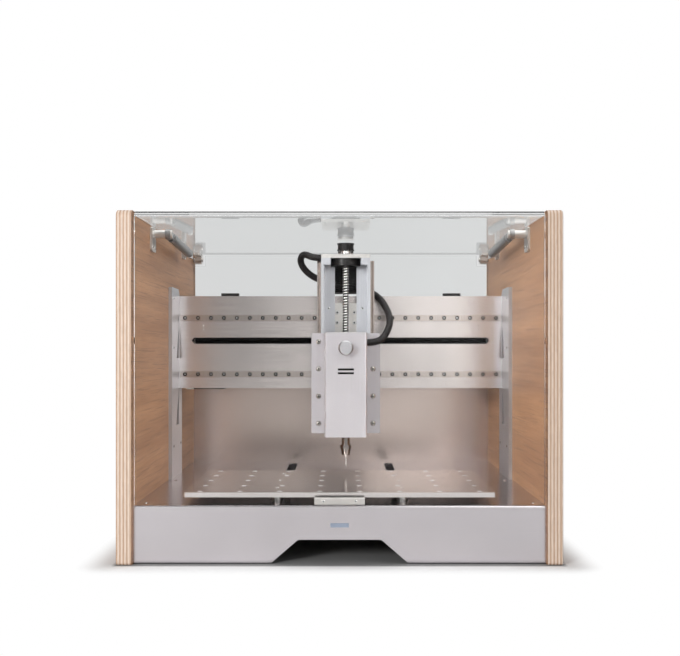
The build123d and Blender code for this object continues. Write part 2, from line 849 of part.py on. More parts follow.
def bed_nut():
    """Nut block under the saddle."""
    half = y_nut_block_width / 2
    middle = behind(bed_middle)
    half_length = y_nut_length / 2
    low = y_screw_height - nut_diameter / 2
    body = block(-half, half, middle - half_length, middle + half_length, low, y_saddle_bottom)
    bore = screw_diameter + 2 * running_clearance
    return body - rod_back(0, y_screw_height, middle - half_length - overrun,
                           middle + half_length + overrun, bore)


def x_plate():
    """Carriage plate on the cross runners."""
    half = x_plate_width / 2
    plate = block(x_rest - half, x_rest + half,
                  behind(x_plate_front), behind(x_plate_front + x_plate_thickness),
                  x_plate_bottom, x_plate_top)
    return fillet(plate.edges().filter_by(Axis.Y), x_plate_corner)


def x_runners():
    """Four runner blocks behind the carriage plate."""
    runners = Part()
    for height in (lower_rail_height, upper_rail_height):
        for end in (-1, 1):
            foot = (x_rest + end * x_runner_pitch / 2, behind(beam_front), height)
            runners += along_rail(runner_section(), foot, (1, 0, 0), (0, -1, 0), runner_long)
    return runners


def x_nut_bracket():
    """Neck through the slot of the beam, with the nut block of the cross screw at its back."""
    half_neck = x_neck_length / 2
    half_rise = x_neck_height / 2
    start = behind(x_plate_front + x_plate_thickness)
    y = behind(x_screw_depth)
    bracket = block(x_rest - half_neck, x_rest + half_neck, start, y,
                    x_screw_height - half_rise, x_screw_height + half_rise)
    half_nut = x_nut_length / 2
    half_block = x_nut_block / 2
    bracket += block(x_rest - half_nut, x_rest + half_nut, y - half_block, y + half_block,
                     x_screw_height - half_block, x_screw_height + half_block)
    bore = screw_diameter + 2 * running_clearance
    return bracket - rod_across(y, x_screw_height, x_rest - half_neck - overrun,
                                x_rest + half_neck + overrun, bore)


def z_frame():
    """Open-fronted channel for the upright screw, with a foot plate and blocks in its top corners."""
    half = z_frame_half
    inner = half - z_frame_wall
    front = behind(z_frame_front)
    back = behind(z_frame_back)
    frame = block(-half, half, front, back, z_frame_bottom, z_top_plate_bottom)
    frame -= block(-inner, inner, front - overrun, back - z_frame_wall, 0, z_top_plate_bottom + overrun)
    half_window = z_window_width / 2
    frame -= block(-half_window, half_window, back - z_frame_wall - overrun, back + overrun,
                   z_frame_bottom + z_window_foot_margin, z_top_plate_bottom - z_window_head_margin)
    foot = block(-inner, inner, front + z_frame_wall, back - z_frame_wall, z_frame_bottom, z_foot_top)
    y = behind(z_screw_depth)
    bore = journal_diameter + 2 * running_clearance
    foot -= rod_up(0, y, z_frame_bottom - overrun, z_foot_top + overrun, bore)
    corner = block(inner - z_corner_block, inner, front, front + z_corner_block,
                   z_top_plate_bottom - z_corner_block, z_top_plate_bottom)
    return Pos(x_rest, 0, 0) * (frame + foot + both_sides(corner))


def z_top_plate():
    """Plate over the frame that reaches back to carry the motor."""
    half = z_frame_half
    plate = block(-half, half, behind(z_frame_front), behind(z_top_plate_back),
                  z_top_plate_bottom, z_top_plate_top)
    plate = fillet(plate.edges().filter_by(Axis.Z).group_by(Axis.Y)[-1], x_plate_corner)
    low = z_top_plate_bottom - overrun
    high = z_top_plate_top + overrun
    plate -= rod_up(0, behind(z_motor_depth), low, high, motor_pilot_diameter + 2 * running_clearance)
    plate -= rod_up(0, behind(z_screw_depth), low, high, z_collar_diameter)
    return Pos(x_rest, 0, 0) * plate


def z_bearing():
    """Round bearing flange under the top plate, trimmed flat to the back of the frame."""
    y = behind(z_screw_depth)
    ring = rod_up(x_rest, y, z_bearing_bottom, z_top_plate_bottom, z_bearing_diameter)
    back = behind(z_frame_back) - z_frame_wall
    ring -= block(x_rest - z_frame_half, x_rest + z_frame_half, back, back + z_bearing_diameter,
                  z_bearing_bottom - overrun, z_top_plate_bottom + overrun)
    bore = journal_diameter + 2 * running_clearance
    return ring - rod_up(x_rest, y, z_bearing_bottom - overrun, z_top_plate_bottom + overrun, bore)


def z_rails():
    """Rails on the outer faces of the frame walls."""
    low = z_frame_bottom + z_rail_end_gap
    length = z_top_plate_bottom - z_rail_end_gap - low
    foot = (z_frame_half, behind(z_rail_depth), low + length / 2)
    return Pos(x_rest, 0, 0) * both_sides(rail(foot, (0, 0, 1), (1, 0, 0), length))


def z_motor():
    """Lift motor hung behind the frame from the top plate."""
    return Pos(x_rest, behind(z_motor_depth), z_top_plate_bottom) * motor(motor_length)


def z_motor_pulley():
    """Pulley and shaft of the lift motor."""
    reach = z_pulley_bottom - z_top_plate_bottom + motor_shaft_depth - axial_gap
    return Pos(x_rest, behind(z_motor_depth), z_pulley_bottom) * motor_pulley(reach)


def z_belt():
    """Belt from the upright screw back to the lift motor."""
    return Pos(x_rest, behind(z_screw_depth), z_pulley_bottom) * Rot(0, 0, 90) * belt()


def z_ball_screw():
    """Upright screw with turned-down ends in the foot plate and the top bearing."""
    y = behind(z_screw_depth)
    screw = rod_up(x_rest, y, z_foot_top + axial_gap, z_bearing_bottom - axial_gap, screw_diameter)
    end = z_pulley_bottom + pulley_width + axial_gap
    return screw + rod_up(x_rest, y, z_frame_bottom, end, journal_diameter)


def z_collar():
    """Bright collar between the top bearing and the pulley."""
    y = behind(z_screw_depth)
    low = z_top_plate_bottom + axial_gap
    slim = z_collar_diameter - 4 * axial_gap
    return rod_up(x_rest, y, low, z_pulley_bottom, slim)


def z_screw_pulley():
    """Pulley on the top of the upright screw."""
    return Pos(x_rest, behind(z_screw_depth), z_pulley_bottom) * pulley(journal_diameter)


def slide_cheeks():
    """Side plates of the lifting slide, on the runners of the upright rails."""
    back = z_rail_depth + runner_width / 2 + cheek_back_margin
    points = [(spindle_plate_back, slide_bottom), (spindle_plate_back + cheek_foot_depth, slide_bottom),
              (back, slide_bottom + cheek_foot_rise), (back, slide_top), (spindle_plate_back, slide_top)]
    cheek = Pos(cheek_inner + cheek_thickness / 2, 0, 0) * side_section(points, cheek_thickness / 2)
    return Pos(x_rest, 0, 0) * both_sides(cheek)


def z_runners():
    """Four runner blocks inside the cheeks."""
    runners = Part()
    for side in (-1, 1):
        for step in (0, 1):
            height = slide_top - z_runner_drop - step * z_runner_pitch
            foot = (x_rest + side * z_frame_half, behind(z_rail_depth), height)
            runners += along_rail(runner_section(), foot, (0, 0, 1), (side, 0, 0), runner_short)
    return runners


def spindle_plate():
    """Front plate of the slide, with the nut block of the upright screw behind it."""
    plate = block(-cheek_outer, cheek_outer, behind(spindle_plate_front), behind(spindle_plate_back),
                  slide_bottom, slide_top)
    y = behind(z_screw_depth)
    half = z_nut_block_width / 2
    reach = behind(z_frame_back) - z_frame_wall - overrun
    low = z_nut_top - z_nut_block_height
    nut = block(-half, half, behind(spindle_plate_back), reach, low, z_nut_top)
    nut -= rod_up(0, y, low - overrun, z_nut_top + overrun, screw_diameter + 2 * running_clearance)
    return Pos(x_rest, 0, 0) * (plate + nut)


def spindle_clamp():
    """Clamp block on the front plate, bored for the spindle."""
    half = clamp_width / 2
    clamp = block(-half, half, behind(clamp_front), behind(spindle_plate_front), clamp_bottom, clamp_top)
    bore = spindle_diameter + 2 * running_clearance
    clamp -= rod_up(0, behind(spindle_depth), clamp_bottom - overrun, clamp_top + overrun, bore)
    return Pos(x_rest, 0, 0) * clamp


def spindle_body():
    """Spindle motor in the clamp, bored from below for its arbor."""
    y = behind(spindle_depth)
    body = rod_up(x_rest, y, spindle_bottom, spindle_top, spindle_diameter)
    body = chamfer(body.edges().filter_by(GeomType.CIRCLE), spindle_edge)
    bore = arbor_diameter + 2 * running_clearance
    return body - rod_up(x_rest, y, spindle_bottom - overrun, spindle_bottom + arbor_length, bore)


def spindle_shaft():
    """Turning nose below the spindle, with its arbor inside."""
    y = behind(spindle_depth)
    shoulder = spindle_bottom - axial_gap
    nose = rod_up(x_rest, y, nose_bottom, shoulder, nose_diameter)
    return nose + rod_up(x_rest, y, shoulder, spindle_bottom + arbor_length - axial_gap, arbor_diameter)


def collet_nut():
    """Collet nut: six-sided grip above, tapering below."""
    y = behind(spindle_depth)
    shoulder = nose_bottom - collet_flat_height
    grip = extrude(RegularPolygon(collet_diameter / 2, 6), collet_flat_height)
    nut = Pos(x_rest, y, shoulder) * grip
    taper_height = shoulder - collet_bottom
    taper = Cone(collet_tip_diameter / 2, collet_taper_top / 2, taper_height)
    return nut + Pos(x_rest, y, collet_bottom + taper_height / 2) * taper


def end_mill():
    """Cutter below the collet nut."""
    return rod_up(x_rest, behind(spindle_depth), tool_tip, collet_bottom, tool_diameter)


def spindle_cover():
    """Folded hat-section cover with a closed top, two vents and a hole for the knob stem."""
    half_box = cover_width / 2
    front = behind(cover_front)
    foot = behind(cover_flange_front)
    back = behind(spindle_plate_front)
    right = [(half_box, front), (half_box, foot), (cheek_outer, foot), (cheek_outer, back),
             (half_box - cover_sheet, back), (half_box - cover_sheet, front + cover_sheet)]
    left = [(-x, y) for x, y in reversed(right)]
    outline = make_face(Polyline(right + left, close=True))
    shell = Pos(0, 0, slide_bottom) * extrude(outline, slide_top - slide_bottom)
    front_edges = shell.edges().filter_by(Axis.Z).group_by(Axis.Y)[0]
    shell = fillet(front_edges, cover_bend_radius)
    inner = half_box - cover_sheet
    shell += block(-inner, inner, front + cover_sheet, back, slide_top - cover_sheet, slide_top)
    half_vent = vent_width / 2
    half_slit = vent_height / 2
    for height in (vent_upper_height, vent_lower_height):
        shell -= block(-half_vent, half_vent, front - overrun, front + cover_sheet + overrun,
                       height - half_slit, height + half_slit)
    bore = knob_stem_diameter + 2 * running_clearance
    shell -= rod_back(0, knob_height, front - overrun, front + cover_sheet + overrun, bore)
    return Pos(x_rest, 0, 0) * shell


def cover_screws():
    """Button-headed screws along both flanges of the cover."""
    face = behind(cover_flange_front)
    head = Rot(90, 0, 0) * Cone(button_head_diameter / 2, button_crown_diameter / 2, button_head_height)
    heads = Part()
    for side in (-1, 1):
        for step in range(cover_screw_count):
            height = slide_top - cover_screw_top_drop - step * cover_screw_pitch
            across = x_rest + side * cover_screw_spread / 2
            heads += Pos(across, face - button_head_height / 2, height) * head
    return heads


def speed_knob():
    """Plain round knob with a bevelled face, on its stem."""
    face = behind(cover_front) - knob_gap
    knob = rod_back(x_rest, knob_height, face - knob_length, face, knob_diameter)
    knob = chamfer(knob.edges().group_by(Axis.Y)[0], knob_edge)
    return knob + rod_back(x_rest, knob_height, face, face + knob_stem_length, knob_stem_diameter)


def hood():
    """One clear sheet bent over at the top of the front window."""
    front = apron_recess
    inner = front + clear_sheet
    points = [(front, hood_bottom), (inner, hood_bottom), (inner, hood_ceiling), (hood_back, hood_ceiling),
              (hood_back, panel_height), (front, panel_height)]
    sheet_bent = side_section(points, hood_half)
    edges = sheet_bent.edges().filter_by(Axis.X)
    outer_bend = edges.sort_by_distance((0, behind(front), panel_height))[0]
    inner_bend = edges.sort_by_distance((0, behind(inner), hood_ceiling))[0]
    sheet_bent = fillet(outer_bend, hood_bend_radius)
    inner_bend = sheet_bent.edges().filter_by(Axis.X).sort_by_distance(inner_bend.center())[0]
    return fillet(inner_bend, hood_bend_radius - clear_sheet)


def hood_handle():
    """Metal lifting strip along the foot of the window."""
    half = handle_width / 2
    face = behind(apron_recess)
    strip = block(-half, half, face - handle_thickness, face, hood_bottom, hood_bottom + handle_height)
    return fillet(strip.edges().filter_by(Axis.X).group_by(Axis.Y)[0], handle_edge)


def hood_ears():
    """Hinge ears under the back corners of the hood, one on each pin."""
    y = behind(hinge_depth)
    outer = hood_half - hood_side_gap
    inner = outer - ear_width
    boss = hinge_pin_diameter + 2 * ear_wall
    half = boss / 2
    ear = rod_across(y, hinge_height, inner, outer, boss)
    ear += block(inner, outer, y - half, y + half, hinge_height, hood_ceiling)
    ear += block(inner, outer, y + half - ear_length, y + half, hood_ceiling - ear_wall, hood_ceiling)
    bore = hinge_pin_diameter + 2 * running_clearance
    return both_sides(ear - rod_across(y, hinge_height, inner - overrun, outer + overrun, bore))


def hinge_pins():
    """Hinge pins set into the cheeks."""
    low = half_inside - hinge_pin_reach
    high = half_inside + hinge_pin_seat - axial_gap
    return both_sides(rod_across(behind(hinge_depth), hinge_height, low, high, hinge_pin_diameter))


def stay_wall_brackets():
    """Plates on the cheeks, each with a headed stud for a stay."""
    y = behind(stay_wall_depth)
    half = stay_bracket_width / 2
    face = half_inside - stay_bracket_thickness
    plate = block(face, half_inside, y - half, y + half, stay_bracket_bottom, stay_bracket_top)
    plate = fillet(plate.edges().filter_by(Axis.X), x_plate_corner)
    eye_outer = stay_line + stay_eye_thickness / 2 + stay_face_gap
    eye_inner = stay_line - stay_eye_thickness / 2 - stay_face_gap
    plate += rod_across(y, stay_wall_height, eye_outer, face, stay_stud_head)
    plate += rod_across(y, stay_wall_height, eye_inner, eye_outer, stay_stud_diameter)
    plate += rod_across(y, stay_wall_height, eye_inner - stay_stud_head_height, eye_inner, stay_stud_head)
    return both_sides(plate)


def stay_place(shape):
    """Lay a stay that was drawn along +Y from its wall pivot into its place on the right."""
    return Pos(stay_line, behind(stay_wall_depth), stay_wall_height) * Rot(stay_tilt, 0, 0) * shape


def stay_cylinder():
    """Right stay cylinder with its wall eye, bored for the rod."""
    half = stay_eye_thickness / 2
    body = rod_back(0, 0, stay_barrel_start, stay_barrel_end, stay_barrel_diameter)
    body += rod_back(0, 0, 0, stay_barrel_start, stay_neck_diameter)
    body -= rod_across(0, 0, -stay_eye_diameter, stay_eye_diameter, stay_eye_diameter)
    body += rod_across(0, 0, -half, half, stay_eye_diameter)
    body -= rod_across(0, 0, -half - overrun, half + overrun, stay_stud_diameter + 2 * running_clearance)
    bore = stay_rod_diameter + 2 * running_clearance
    return stay_place(body - rod_back(0, 0, stay_rod_tail - overrun, stay_barrel_end + overrun, bore))


def stay_rod():
    """Right stay rod with its lid eye."""
    half = stay_eye_thickness / 2
    body = rod_back(0, 0, stay_rod_tail, stay_length, stay_rod_diameter)
    body -= rod_across(stay_length, 0, -stay_eye_diameter, stay_eye_diameter, stay_eye_diameter)
    body += rod_across(stay_length, 0, -half, half, stay_eye_diameter)
    return stay_place(body - rod_across(stay_length, 0, -half - overrun, half + overrun, stay_stud_diameter))


def stay_lid_lugs():
    """Lugs under the hood, each with a boss beside the eye of a stay rod."""
    y = behind(stay_lid_depth)
    half = lid_lug_width / 2
    boss_start = stay_line + stay_eye_thickness / 2 + stay_face_gap
    face = boss_start + lid_boss_length
    lug = block(face, face + lid_lug_thickness, y - half, y + half, stay_lid_height, hood_ceiling)
    lug += rod_across(y, stay_lid_height, face, face + lid_lug_thickness, lid_lug_width)
    lug += rod_across(y, stay_lid_height, boss_start, face, lid_boss_diameter)
    lug += block(face, face + lid_foot_width, y - half, y + half,
                 hood_ceiling - lid_lug_thickness / 2, hood_ceiling)
    return both_sides(lug)


def power_supply():
    """Supply box hung from the underside of the deck."""
    half = supply_width / 2
    front = behind(supply_front)
    return block(supply_centre - half, supply_centre + half, front, front + supply_depth,
                 deck_underside - supply_height, deck_underside)


def controller_board():
    """Circuit board hung from the deck on four pillars."""
    half = board_width / 2
    front = behind(supply_front)
    top = deck_underside - board_standoff
    board = block(-supply_centre - half, -supply_centre + half, front, front + board_depth,
                  top - board_thickness, top)
    for x in (-supply_centre - half + board_inset, -supply_centre + half - board_inset):
        for y in (front + board_inset, front + board_depth - board_inset):
            board += rod_up(x, y, top, deck_underside, board_standoff_diameter)
    return board


def power_inlet():
    """Mains inlet in the back of the tray: flange outside, body inside, open socket."""
    back = behind(tray_back)
    half = inlet_width / 2
    rise = inlet_height / 2
    inlet = block(supply_centre - half, supply_centre + half, back, back + inlet_flange,
                  inlet_centre_height - rise, inlet_centre_height + rise)
    half_body = inlet_body_width / 2
    body_rise = inlet_body_height / 2
    inlet += block(supply_centre - half_body, supply_centre + half_body, back - inlet_body_depth, back,
                   inlet_centre_height - body_rise, inlet_centre_height + body_rise)
    half_socket = half_body - inlet_socket_margin
    socket_rise = body_rise - inlet_socket_margin
    return inlet - block(supply_centre - half_socket, supply_centre + half_socket,
                         back + inlet_flange - inlet_socket_depth, back + inlet_flange + overrun,
                         inlet_centre_height - socket_rise, inlet_centre_height + socket_rise)


def spindle_cable():
    """Cable from the side of the cover, round the back of the frame and up to its top left corner."""
    wall = cover_width / 2
    route = [(wall, 205, 275), (46, 205, 275), (58, 210, 286), (66, 232, 306), (62, 262, 326), (50, 294, 347),
             (30, 298.5, 357), (-6, 298.5, 362), (-42, 297, 372), (-61, 290, 384), (-70, 279, 399),
             (-64, 266, 410), (-49, 256, 402), (-z_frame_half, 256, 402)]
    points = [Vector(x_rest + x, behind(depth), z) for x, depth, z in route]
    radii = []
    for before, here, after in zip(points, points[1:], points[2:]):
        shorter = min((here - before).length, (after - here).length)
        turn = math.radians((here - before).get_angle(after - here))
        radii.append(cable_bend_share * shorter / math.tan(turn / 2))
    path = FilletPolyline(*points, radius=radii)
    start = Plane(origin=points[0], z_dir=points[1] - points[0])
    cable = sweep(start * Circle(cable_diameter / 2), path)
    section = math.pi * cable_diameter ** 2 / 4
    print("cable bends", [round(radius, 1) for radius in radii])
    print("cable length", round(path.length, 1))
    print("cable volume share", round(cable.volume / section / path.length, 4))
    return cable


def mirrored(shape):
    """The same piece on the left of the machine."""
    return mirror(shape, about=Plane.YZ)


def pieces():
    """Every piece of the machine by name."""
    right_panel = side_panel()
    right_cylinder = stay_cylinder()
    right_rod = stay_rod()
    return {
        "right_side_panel": right_panel,
        "left_side_panel": mirrored(right_panel),
        "base_tray": base_tray(),
        "status_light": status_light(),
        "rear_wall": rear_wall(),
        "rear_window": rear_window(),
        "rear_window_clips": rear_window_clips(),
        "uprights": both_sides(upright()),
        "gantry_beam": gantry_beam(),
        "x_rails": Part() + [x_rail(upper_rail_height), x_rail(lower_rail_height)],
        "x_motor_bracket": x_motor_bracket(),
        "screw_bearings": Part() + [x_end_bearing(), y_screw_bearings()],
        "x_motor": x_motor(),
        "x_belt": x_belt(),
        "x_motor_pulley": x_motor_pulley(),
        "x_ball_screw": x_ball_screw() + x_screw_pulley(),
        "y_cross_members": y_cross_members(),
        "y_rail_bars": y_rail_bars(),
        "y_rails": y_rails(),
        "y_motor_bracket": y_motor_bracket(),
        "y_motor": y_motor(),
        "y_ball_screw": y_ball_screw() + y_coupling(),
        "bed_plate": bed_plate(),
        "bed_screws": bed_screws(),
        "bed_saddle": bed_saddle() + bed_nut(),
        "bed_runners": bed_runners(),
        "x_plate": x_plate(),
        "x_runners": x_runners(),
        "x_nut_bracket": x_nut_bracket(),
        "z_frame": z_frame(),
        "z_top_plate": z_top_plate(),
        "z_bearing": z_bearing(),
        "z_rails": z_rails(),
        "z_motor": z_motor(),
        "z_belt": z_belt(),
        "z_motor_pulley": z_motor_pulley(),
        "z_ball_screw": z_ball_screw() + z_collar(),
        "z_screw_pulley": z_screw_pulley(),
        "spindle_cable": spindle_cable(),
        "z_runners": z_runners(),
        "slide_frame": spindle_plate() + slide_cheeks(),
        "spindle_clamp": spindle_clamp(),
        "spindle_body": spindle_body(),
        "spindle_cover": spindle_cover(),
        "cover_screws": cover_screws(),
        "speed_knob": speed_knob(),
        "spindle_shaft": spindle_shaft(),
        "collet_nut": collet_nut(),
        "end_mill": end_mill(),
        "hood": hood(),
        "hood_handle": hood_handle(),
        "hood_fittings": Part() + [hood_ears(), stay_lid_lugs()],
        "hood_wall_fittings": Part() + [hinge_pins(), stay_wall_brackets()],
        "right_stay_cylinder": right_cylinder,
        "left_stay_cylinder": mirrored(right_cylinder),
        "right_stay_rod": right_rod,
        "left_stay_rod": mirrored(right_rod),
        "power_supply": power_supply(),
        "controller_board": controller_board(),
        "power_inlet": power_inlet(),
    }


def main():
    """Write one file per piece."""
    os.makedirs("parts", exist_ok=True)
    for name, shape in pieces().items():
        shape.label = name
        export_step(shape, f"parts/{name}.step")


main()
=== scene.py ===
"""Dresses the desktop milling machine: materials, small hardware, cable, floor, lights and camera."""
import math

import bmesh
import bpy
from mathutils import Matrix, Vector


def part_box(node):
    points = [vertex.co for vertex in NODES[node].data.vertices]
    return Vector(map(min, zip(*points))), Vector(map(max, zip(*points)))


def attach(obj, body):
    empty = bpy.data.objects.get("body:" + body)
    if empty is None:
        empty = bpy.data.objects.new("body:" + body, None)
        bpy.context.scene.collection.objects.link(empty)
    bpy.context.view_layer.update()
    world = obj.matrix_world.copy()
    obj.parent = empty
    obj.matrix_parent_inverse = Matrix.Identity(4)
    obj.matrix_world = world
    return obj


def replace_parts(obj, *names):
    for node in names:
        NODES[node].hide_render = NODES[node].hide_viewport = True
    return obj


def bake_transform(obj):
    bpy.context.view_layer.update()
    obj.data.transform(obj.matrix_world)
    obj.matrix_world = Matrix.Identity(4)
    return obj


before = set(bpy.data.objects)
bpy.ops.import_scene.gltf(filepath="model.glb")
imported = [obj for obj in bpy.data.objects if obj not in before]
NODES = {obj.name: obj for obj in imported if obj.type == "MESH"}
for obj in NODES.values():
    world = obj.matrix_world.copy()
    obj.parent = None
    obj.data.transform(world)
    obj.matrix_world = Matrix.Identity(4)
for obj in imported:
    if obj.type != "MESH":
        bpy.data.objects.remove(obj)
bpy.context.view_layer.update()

MM = 0.001
FINE_RELIEF = 0.0002


# Material helpers

def material(name):
    """New node material; returns it with its tree and main shader."""
    made = bpy.data.materials.new(name)
    made.use_nodes = True
    tree = made.node_tree
    return made, tree, tree.nodes["Principled BSDF"]


def add(tree, kind, inputs=None, **settings):
    """Add a node, set its properties, then its inputs: numbers and colours are set, sockets are linked."""
    node = tree.nodes.new(kind)
    for key, value in settings.items():
        setattr(node, key, value)
    for key, value in (inputs or {}).items():
        if isinstance(value, bpy.types.NodeSocket):
            tree.links.new(value, node.inputs[key])
        else:
            node.inputs[key].default_value = value
    return node


def worked(tree, operation, first, second=0.0):
    """Result of one sum on numbers or sockets."""
    return add(tree, "ShaderNodeMath", {0: first, 1: second}, operation=operation).outputs["Value"]


def stretched(tree, scale):
    """Object coordinates stretched by a scale along each axis."""
    place = add(tree, "ShaderNodeTexCoord")
    made = add(tree, "ShaderNodeMapping", {"Vector": place.outputs["Object"], "Scale": scale})
    return made.outputs["Vector"]


def noise(tree, vector, detail=4.0, roughness=0.6):
    """Noise value over already scaled coordinates."""
    made = add(tree, "ShaderNodeTexNoise",
               {"Vector": vector, "Scale": 1.0, "Detail": detail, "Roughness": roughness})
    return made.outputs["Fac"]


def ramp(tree, value, stops):
    """Colour ramp over a value, with (place, colour) stops."""
    made = add(tree, "ShaderNodeValToRGB", {"Fac": value})
    band = made.color_ramp
    while len(band.elements) < len(stops):
        band.elements.new(0.5)
    for element, (place, colour) in zip(band.elements, stops):
        element.position = place
        element.color = (*colour, 1.0)
    return made.outputs["Color"]


def spread(tree, value, low, high):
    """Map a 0 to 1 value to a range."""
    made = add(tree, "ShaderNodeMapRange", {"Value": value, "To Min": low, "To Max": high})
    return made.outputs["Result"]


def bump(tree, shader, height, strength, distance):
    """Fine relief on a shader from a height value."""
    made = add(tree, "ShaderNodeBump", {"Height": height, "Strength": strength, "Distance": distance})
    tree.links.new(made.outputs["Normal"], shader.inputs["Normal"])


def linear(*srgb):
    """Linear colour from 0 to 255 screen values."""
    def one(value):
        share = value / 255
        return share / 12.92 if share <= 0.04045 else ((share + 0.055) / 1.055) ** 2.4
    return tuple(one(value) for value in srgb)


def tone(colour, factor):
    """The same colour, lighter or darker."""
    return tuple(min(1.0, part * factor) for part in colour)


def metal(name, colour, grain, rough, contrast=0.12, relief=0.05, metallic=1.0):
    """Brushed or satin metal: fine streaks along the axis with the small grain scale."""
    made, tree, shader = material(name)
    fine = noise(tree, stretched(tree, grain))
    broad = noise(tree, stretched(tree, (9.0, 9.0, 9.0)), detail=2.0)
    mixed = worked(tree, "ADD", fine, broad)
    half = worked(tree, "MULTIPLY", mixed, 0.5)
    colours = ramp(tree, half, [(0.3, tone(colour, 1.0 - contrast)), (0.7, tone(colour, 1.0 + contrast))])
    tree.links.new(colours, shader.inputs["Base Color"])
    shader.inputs["Metallic"].default_value = metallic
    tree.links.new(spread(tree, fine, rough * 0.8, rough * 1.25), shader.inputs["Roughness"])
    bump(tree, shader, fine, relief, FINE_RELIEF)
    return made


def coated(name, colour, rough, contrast=0.15, grain=(900.0, 900.0, 900.0), relief=0.1, metallic=0.0,
           shine=0.5):
    """Painted, moulded or rubber surface with a fine even texture and slight mottling."""
    made, tree, shader = material(name)
    fine = noise(tree, stretched(tree, grain), detail=2.0)
    broad = noise(tree, stretched(tree, (25.0, 25.0, 25.0)), detail=3.0)
    colours = ramp(tree, broad, [(0.3, tone(colour, 1.0 - contrast)), (0.7, tone(colour, 1.0 + contrast))])
    tree.links.new(colours, shader.inputs["Base Color"])
    shader.inputs["Metallic"].default_value = metallic
    shader.inputs["Specular IOR Level"].default_value = shine
    tree.links.new(spread(tree, fine, rough * 0.85, rough * 1.15), shader.inputs["Roughness"])
    bump(tree, shader, fine, relief, FINE_RELIEF)
    return made


# Materials

PANEL_LOW, PANEL_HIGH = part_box("right_side_panel")
PLY_THICKNESS = PANEL_HIGH[0] - PANEL_LOW[0]
PLY_COUNT = 9
PLY_PALE = linear(236, 217, 201)
PLY_DARK = linear(204, 168, 141)
OAK_PALE = linear(193, 146, 107)
OAK_DARK = linear(155, 110, 77)
OAK_PORE = linear(126, 84, 56)
OAK_SHADE = 0.84


def plywood(name, inner_face):
    """Birch plies across the cut edges; oak veneer, grain front to back, on the broad faces."""
    made, tree, shader = material(name)
    place = add(tree, "ShaderNodeTexCoord").outputs["Object"]
    across = add(tree, "ShaderNodeSeparateXYZ", {"Vector": place}).outputs["X"]
    wander = noise(tree, stretched(tree, (40.0, 14.0, 14.0)), detail=3.0)
    shift = spread(tree, wander, -0.00035, 0.00035)
    depth = worked(tree, "ADD", across, shift)
    depth = worked(tree, "SUBTRACT", depth, inner_face)
    waves = worked(tree, "MULTIPLY", depth, math.pi * PLY_COUNT / PLY_THICKNESS)
    band = worked(tree, "SINE", waves)
    band = add(tree, "ShaderNodeMapRange",
               {"Value": band, "From Min": -1.0, "From Max": 1.0}).outputs["Result"]
    fibre = noise(tree, stretched(tree, (1500.0, 90.0, 90.0)), detail=3.0)
    edge = ramp(tree, band, [(0.28, PLY_DARK), (0.55, PLY_PALE)])
    speckle = ramp(tree, fibre, [(0.30, (0.80, 0.78, 0.76)), (0.6, (1.0, 1.0, 1.0))])
    edge = add(tree, "ShaderNodeMix", {"Factor": 1.0, 6: edge, 7: speckle}, data_type="RGBA",
               blend_type="MULTIPLY").outputs[2]
    figure = noise(tree, stretched(tree, (6.0, 2.2, 34.0)), detail=6.0, roughness=0.65)
    pores = noise(tree, stretched(tree, (60.0, 9.0, 620.0)), detail=5.0, roughness=0.7)
    veneer = ramp(tree, figure, [(0.32, tone(OAK_DARK, OAK_SHADE)), (0.66, tone(OAK_PALE, OAK_SHADE))])
    dark_pores = ramp(tree, pores, [(0.36, OAK_PORE), (0.47, (1.0, 1.0, 1.0))])
    veneer = add(tree, "ShaderNodeMix", {"Factor": 0.55, 6: veneer, 7: dark_pores}, data_type="RGBA",
                 blend_type="MULTIPLY").outputs[2]
    normal = add(tree, "ShaderNodeNewGeometry").outputs["True Normal"]
    sideways = add(tree, "ShaderNodeSeparateXYZ", {"Vector": normal}).outputs["X"]
    sideways = worked(tree, "ABSOLUTE", sideways)
    broad = worked(tree, "GREATER_THAN", sideways, 0.8)
    both = add(tree, "ShaderNodeMix", {"Factor": broad, 6: edge, 7: veneer}, data_type="RGBA").outputs[2]
    tree.links.new(both, shader.inputs["Base Color"])
    tree.links.new(spread(tree, pores, 0.42, 0.62), shader.inputs["Roughness"])
    bump(tree, shader, pores, 0.15, 0.0003)
    return made


def clear_acrylic(name):
    """Clear sheet that lets light through to what it covers, with little mirroring."""
    made, tree, shader = material(name)
    smear = noise(tree, stretched(tree, (7.0, 7.0, 7.0)), detail=3.0)
    tint = ramp(tree, smear, [(0.3, (0.975, 0.985, 0.985)), (0.7, (0.99, 0.995, 0.995))])
    tree.links.new(tint, shader.inputs["Base Color"])
    shader.inputs["Roughness"].default_value = 0.0
    shader.inputs["IOR"].default_value = 1.15
    shader.inputs["Transmission Weight"].default_value = 1.0
    through = add(tree, "ShaderNodeBsdfTransparent", {"Color": (0.96, 0.97, 0.97, 1.0)})
    rays = add(tree, "ShaderNodeLightPath")
    mixed = add(tree, "ShaderNodeMixShader", {0: rays.outputs["Is Shadow Ray"], 1: shader.outputs["BSDF"],
                                              2: through.outputs["BSDF"]})
    tree.links.new(mixed.outputs["Shader"], tree.nodes["Material Output"].inputs["Surface"])
    return made


def glowing(name, colour, strength):
    """Frosted light bar."""
    made, tree, shader = material(name)
    soft = noise(tree, stretched(tree, (120.0, 120.0, 300.0)), detail=2.0)
    colours = ramp(tree, soft, [(0.3, tone(colour, 0.92)), (0.7, tone(colour, 1.06))])
    tree.links.new(colours, shader.inputs["Base Color"])
    tree.links.new(colours, shader.inputs["Emission Color"])
    shader.inputs["Emission Strength"].default_value = strength
    shader.inputs["Roughness"].default_value = 0.3
    return made


